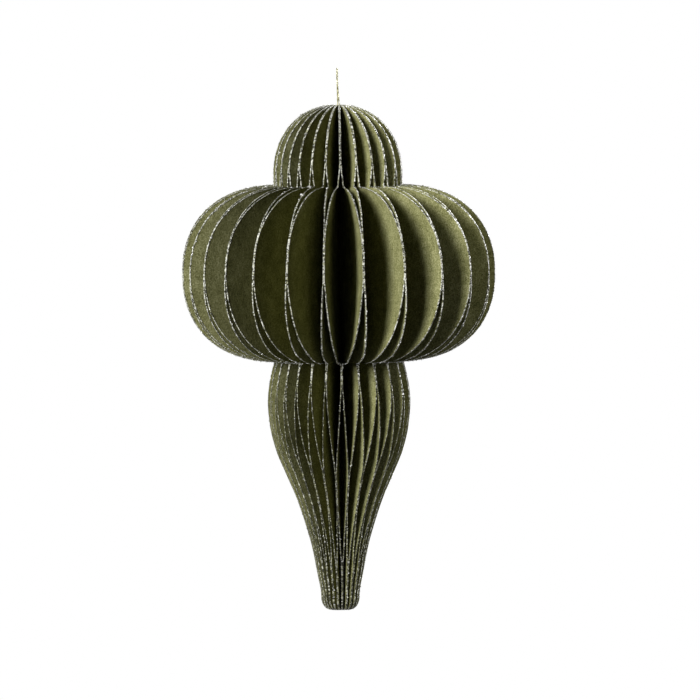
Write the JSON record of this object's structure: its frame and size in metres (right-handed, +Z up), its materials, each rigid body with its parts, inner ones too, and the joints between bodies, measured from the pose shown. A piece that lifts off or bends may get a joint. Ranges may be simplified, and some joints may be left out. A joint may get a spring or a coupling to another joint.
{
  "type": "folded paper finial ornament",
  "caption": "Hanging ornament of folded paper leaves fanned round a core, with a small dome, a wide bulge and a long tapering finial below, and a thread loop.",
  "frame": {"origin": "under the crown of the hanging loop, where it bears on its hook, on the ornament's axis", "axes": "+Z up, along the ornament's axis, which is its longest extent; the side that faces -Y is the front in the picture"},
  "size_m": [0.1238, 0.1234, 0.2148],
  "materials": {
    "paper": "matte olive green card, dyed through and left uncoated",
    "glitter": "silver foil glitter set in clear glue, along the outer edge of every paper leaf",
    "thread": "twisted metallic thread, pale gold"
  },
  "bodies": {
    "root": {"hanging_thread": "thread", "thread_knot": "thread", "folded_sheet_01": "paper", "folded_sheet_02": "paper", "folded_sheet_03": "paper", "folded_sheet_04": "paper", "folded_sheet_05": "paper", "folded_sheet_06": "paper", "folded_sheet_07": "paper", "folded_sheet_08": "paper", "folded_sheet_09": "paper", "folded_sheet_10": "paper", "folded_sheet_11": "paper", "folded_sheet_12": "paper", "folded_sheet_13": "paper", "folded_sheet_14": "paper", "folded_sheet_15": "paper", "folded_sheet_16": "paper", "folded_sheet_17": "paper", "folded_sheet_18": "paper", "folded_sheet_19": "paper", "folded_sheet_20": "paper", "folded_sheet_21": "paper", "folded_sheet_22": "paper", "folded_sheet_23": "paper", "folded_sheet_24": "paper", "folded_sheet_25": "paper"}
  },
  "joints": []
}
